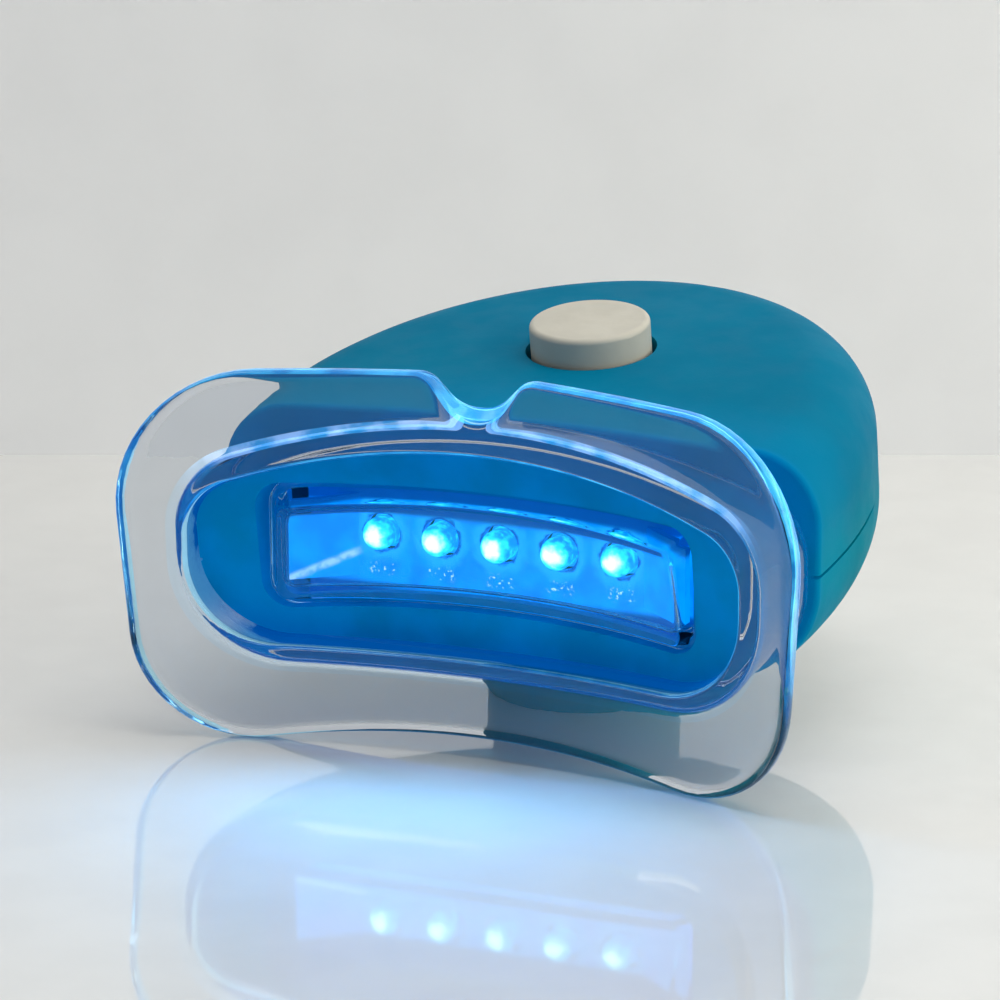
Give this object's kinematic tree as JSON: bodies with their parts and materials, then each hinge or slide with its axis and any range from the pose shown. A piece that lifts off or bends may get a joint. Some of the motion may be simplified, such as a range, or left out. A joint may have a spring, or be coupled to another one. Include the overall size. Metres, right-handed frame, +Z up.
{
  "type": "teeth whitening lamp",
  "caption": "Egg-shaped battery light with a foot underneath, a push button on top and a clear curved lip shield sleeved over its lit nose.",
  "frame": {"origin": "on the table, under the middle of the whole lamp's box", "axes": "+X across the lamp, to the right seen from the lip shield's side, +Y from the lip shield back into the casing, +Z up"},
  "size_m": [0.0658, 0.0607, 0.036],
  "materials": {
    "casing_teal": "fine satin grain",
    "clear_mouthpiece": "polished clear",
    "clear_lens": "polished clear",
    "white_tray": "glossy white",
    "blue_light": "clear dome, lit",
    "button_cream": "smooth satin",
    "board_green": "solder mask over glass fibre",
    "switch_black": "moulded",
    "plunger_white": "moulded",
    "nickel": "nickel plated",
    "tinned_wire": "tinned",
    "cell_steel": "bright",
    "screw_steel": "zinc plated",
    "seal_rubber": "matt",
    "resistor_tan": "lacquered",
    "wire_red": "insulated wire",
    "wire_black": "insulated wire"
  },
  "bodies": {
    "casing": {"battery_cell_lower": "cell_steel", "battery_cell_middle": "cell_steel", "battery_cell_upper": "cell_steel", "battery_side_contact": "nickel", "battery_top_contact": "nickel", "board_screws": "screw_steel", "case_screws": "screw_steel", "led_1": "blue_light", "led_2": "blue_light", "led_3": "blue_light", "led_4": "blue_light", "led_5": "blue_light", "led_board": "board_green", "led_lead_negative": "wire_black", "led_lead_positive": "wire_red", "led_legs": "tinned_wire", "lower_shell": "casing_teal", "main_board": "board_green", "reflector_tray": "white_tray", "resistor": "resistor_tan", "switch_housing": "switch_black", "switch_pins": "tinned_wire", "switch_spring": "tinned_wire", "upper_shell": "casing_teal", "window_lens": "clear_lens"},
    "mouthpiece": {"mouthpiece": "clear_mouthpiece"},
    "button": {"power_button": "button_cream", "switch_plunger": "plunger_white"},
    "cap": {"battery_cap": "casing_teal", "cap_contact": "nickel", "cap_seal": "seal_rubber"}
  },
  "joints": [
    {"name": "mouthpiece_pull", "type": "slide", "parent": "casing", "child": "mouthpiece", "axis": [0, -1, 0], "range_m": [0, 0.014]},
    {"name": "button_press", "type": "slide", "parent": "casing", "child": "button", "axis": [0, 0.1478, -0.989], "range_m": [0, 0.0016], "stiffness_N_per_m": 400, "deforming": ["switch_spring"]},
    {"name": "cap_turn", "type": "hinge", "parent": "casing", "child": "cap", "pos_m": [0, 0.00191, 0], "axis": [0, 0, 1], "range_deg": [0, 60]}
  ]
}
